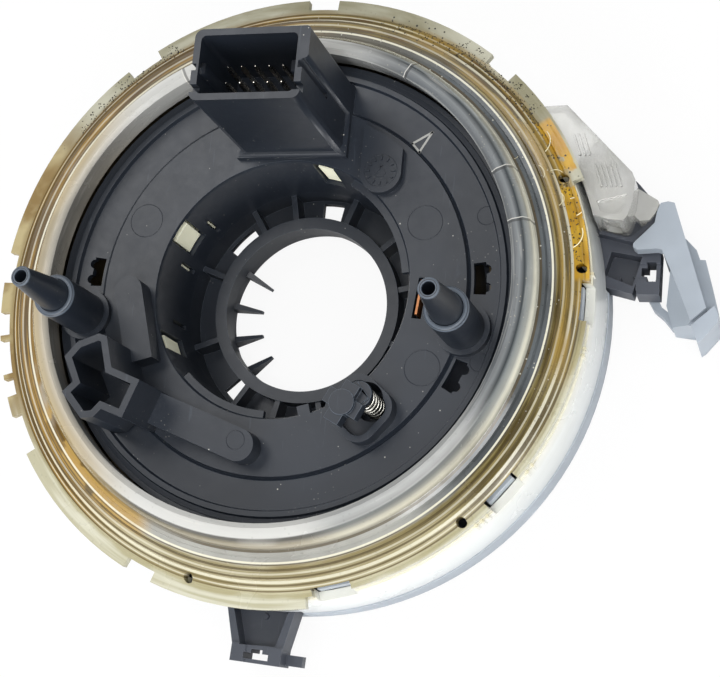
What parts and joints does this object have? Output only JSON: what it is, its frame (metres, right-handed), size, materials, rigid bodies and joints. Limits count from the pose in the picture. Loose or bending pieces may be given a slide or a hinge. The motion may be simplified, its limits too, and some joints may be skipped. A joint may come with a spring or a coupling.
{
  "type": "steering clock spring",
  "caption": "Rotary joint for a steering column: a clear toothed cup holds a black rotor with a tall wheel connector, guide posts and a sprung centre lock; plug outlet at the side.",
  "frame": {"origin": "on the turning axis, at the top face of the hub collar, where the shaft bore opens", "axes": "+Z along the turning axis, towards the steering wheel; +Y from the axis to the tall wheel connector; +X to the side with the column connector"},
  "size_m": [0.1326, 0.1226, 0.05],
  "materials": {
    "clear_plastic": "clear moulded plastic, hazed and greasy",
    "grey_plastic": "light grey, satin moulded",
    "dark_plastic": "dark, satin moulded",
    "black_plastic": "black, satin moulded",
    "cream_plastic": "cream, smooth",
    "ribbon_film": "laminated flat cable film",
    "board": "green lacquered board",
    "chip_resin": "black moulded resin",
    "tinned_metal": "tinned",
    "spring_steel": "bright drawn wire",
    "copper": "bare copper alloy, slightly dull"
  },
  "bodies": {
    "stator": {"stator_cover": "clear_plastic", "rear_case": "grey_plastic", "sensor_housing": "dark_plastic", "sensor_board": "board", "sensor_chips": "chip_resin", "light_barriers": "chip_resin", "column_connector": "grey_plastic", "column_pins": "tinned_metal", "duct_cover": "clear_plastic", "ribbon_tail": "ribbon_film"},
    "rotor": {"rotor_plate": "black_plastic", "rotor_sleeve": "black_plastic", "wheel_connector": "black_plastic", "wheel_pins": "tinned_metal", "airbag_connector": "black_plastic", "airbag_pins": "tinned_metal", "left_post": "black_plastic", "right_post": "black_plastic", "contact_leaf": "copper", "ribbon_core": "cream_plastic", "ribbon_coil": "ribbon_film", "code_ring": "dark_plastic", "lock_spring": "spring_steel"},
    "lock": {"lock_pin": "black_plastic"}
  },
  "joints": [
    {"name": "rotor_turn", "type": "hinge", "parent": "stator", "child": "rotor", "pos_m": [0, 0, 0], "axis": [0, 0, 1], "range_deg": [-900, 900]},
    {"name": "lock_press", "type": "slide", "parent": "rotor", "child": "lock", "axis": [0, 0, -1], "range_m": [0, 0.0025], "stiffness_N_per_m": 400, "springref_m": -0.002, "deforming": ["lock_spring"]}
  ]
}
